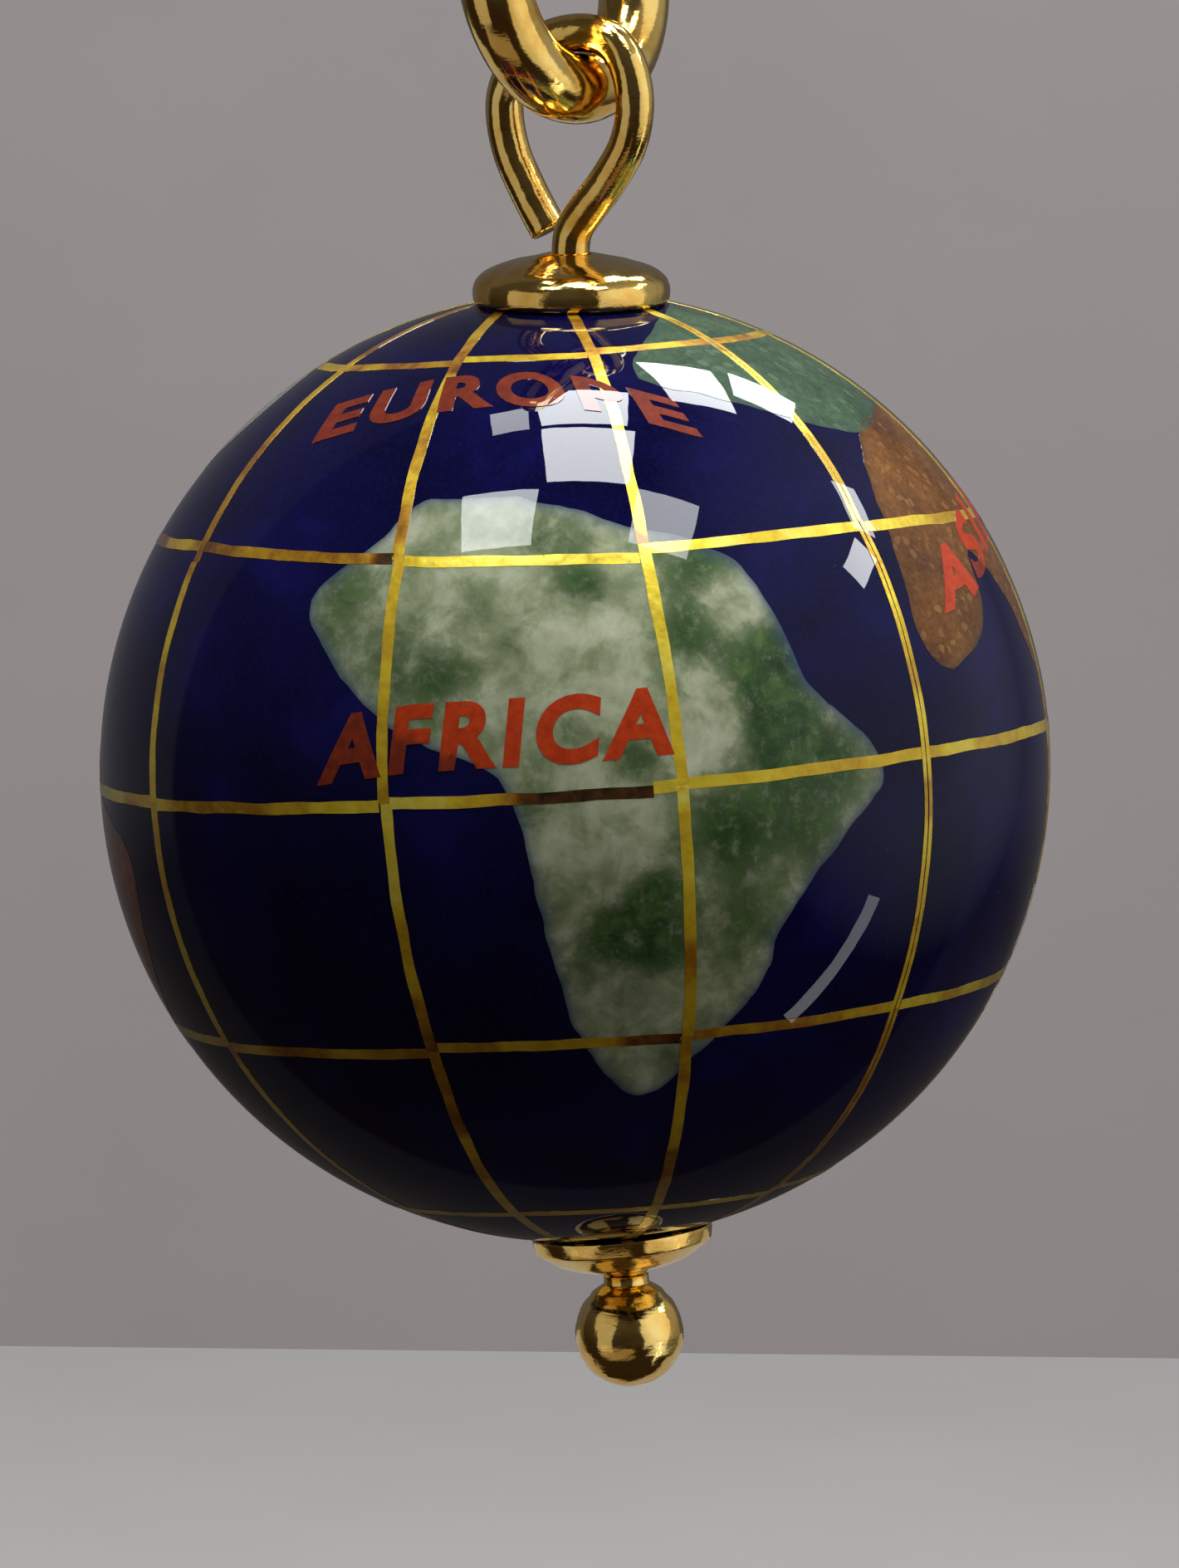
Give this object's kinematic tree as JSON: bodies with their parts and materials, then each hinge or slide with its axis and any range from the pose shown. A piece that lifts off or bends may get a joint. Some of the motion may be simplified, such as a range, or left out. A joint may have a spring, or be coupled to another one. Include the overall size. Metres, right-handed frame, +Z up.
{
  "type": "globe pendant charm",
  "caption": "Small inlaid stone globe on a ball-ended eye pin with a bead cap above and below, hanging from an oval chain link.",
  "frame": {"origin": "underside of the chain link's upper bow, where the chain above holds it", "axes": "+Z up, against gravity; the link lies in the YZ plane, leaning towards -X; the pin's eye lies in the XZ plane"},
  "size_m": [0.0248, 0.025, 0.0455],
  "materials": {
    "gold_plate": "polished gold plate",
    "strip_metal": "thin strip, ground flush and clear-coated",
    "core_filler": "cast, unseen",
    "ocean_blue": "reconstituted lapis blue, clear-coated and polished",
    "jade_green": "mottled grey-green stone, clear-coated and polished",
    "aventurine_green": "granular green stone, clear-coated and polished",
    "sandstone_brown": "granular brown stone, clear-coated and polished",
    "jasper_cream": "veined cream stone, clear-coated and polished",
    "howlite_grey": "veined pale stone, clear-coated and polished",
    "jasper_red": "banded red stone, clear-coated and polished",
    "label_ink": "printed under the clear coat"
  },
  "bodies": {
    "link": {"chain_link": "gold_plate"},
    "pin": {"head_pin": "gold_plate"},
    "globe": {"globe_core": "core_filler", "ocean_shell": "ocean_blue", "africa_inlay": "jade_green", "europe_inlay": "aventurine_green", "asia_inlay": "sandstone_brown", "australia_inlay": "jasper_cream", "north_america_inlay": "howlite_grey", "south_america_inlay": "jasper_red", "meridian_strip_01": "strip_metal", "meridian_strip_02": "strip_metal", "meridian_strip_03": "strip_metal", "meridian_strip_04": "strip_metal", "meridian_strip_05": "strip_metal", "meridian_strip_06": "strip_metal", "meridian_strip_07": "strip_metal", "meridian_strip_08": "strip_metal", "meridian_strip_09": "strip_metal", "meridian_strip_10": "strip_metal", "parallel_north_62": "strip_metal", "parallel_north_30": "strip_metal", "parallel_equator": "strip_metal", "parallel_south_30": "strip_metal", "parallel_south_60": "strip_metal"},
    "top_cap": {"top_cap": "gold_plate"},
    "bottom_cap": {"bottom_cap": "gold_plate"}
  },
  "joints": [
    {"name": "pendant_swing", "type": "hinge", "parent": "link", "child": "pin", "pos_m": [0.00198, 0, -0.00932], "axis": [0, 1, 0], "range_deg": [-90, 90]},
    {"name": "globe_spin", "type": "hinge", "parent": "pin", "child": "globe", "pos_m": [0.00273, 0, -0.02716], "axis": [-0.0787, 0, 0.9969], "continuous": true},
    {"name": "top_cap_spin", "type": "hinge", "parent": "globe", "child": "top_cap", "pos_m": [0.00168, 0, -0.01393], "axis": [-0.0225, 0, 0.9997], "continuous": true},
    {"name": "bottom_cap_spin", "type": "hinge", "parent": "globe", "child": "bottom_cap", "pos_m": [0.00377, 0, -0.0404], "axis": [-0.1347, 0, 0.9909], "continuous": true}
  ]
}
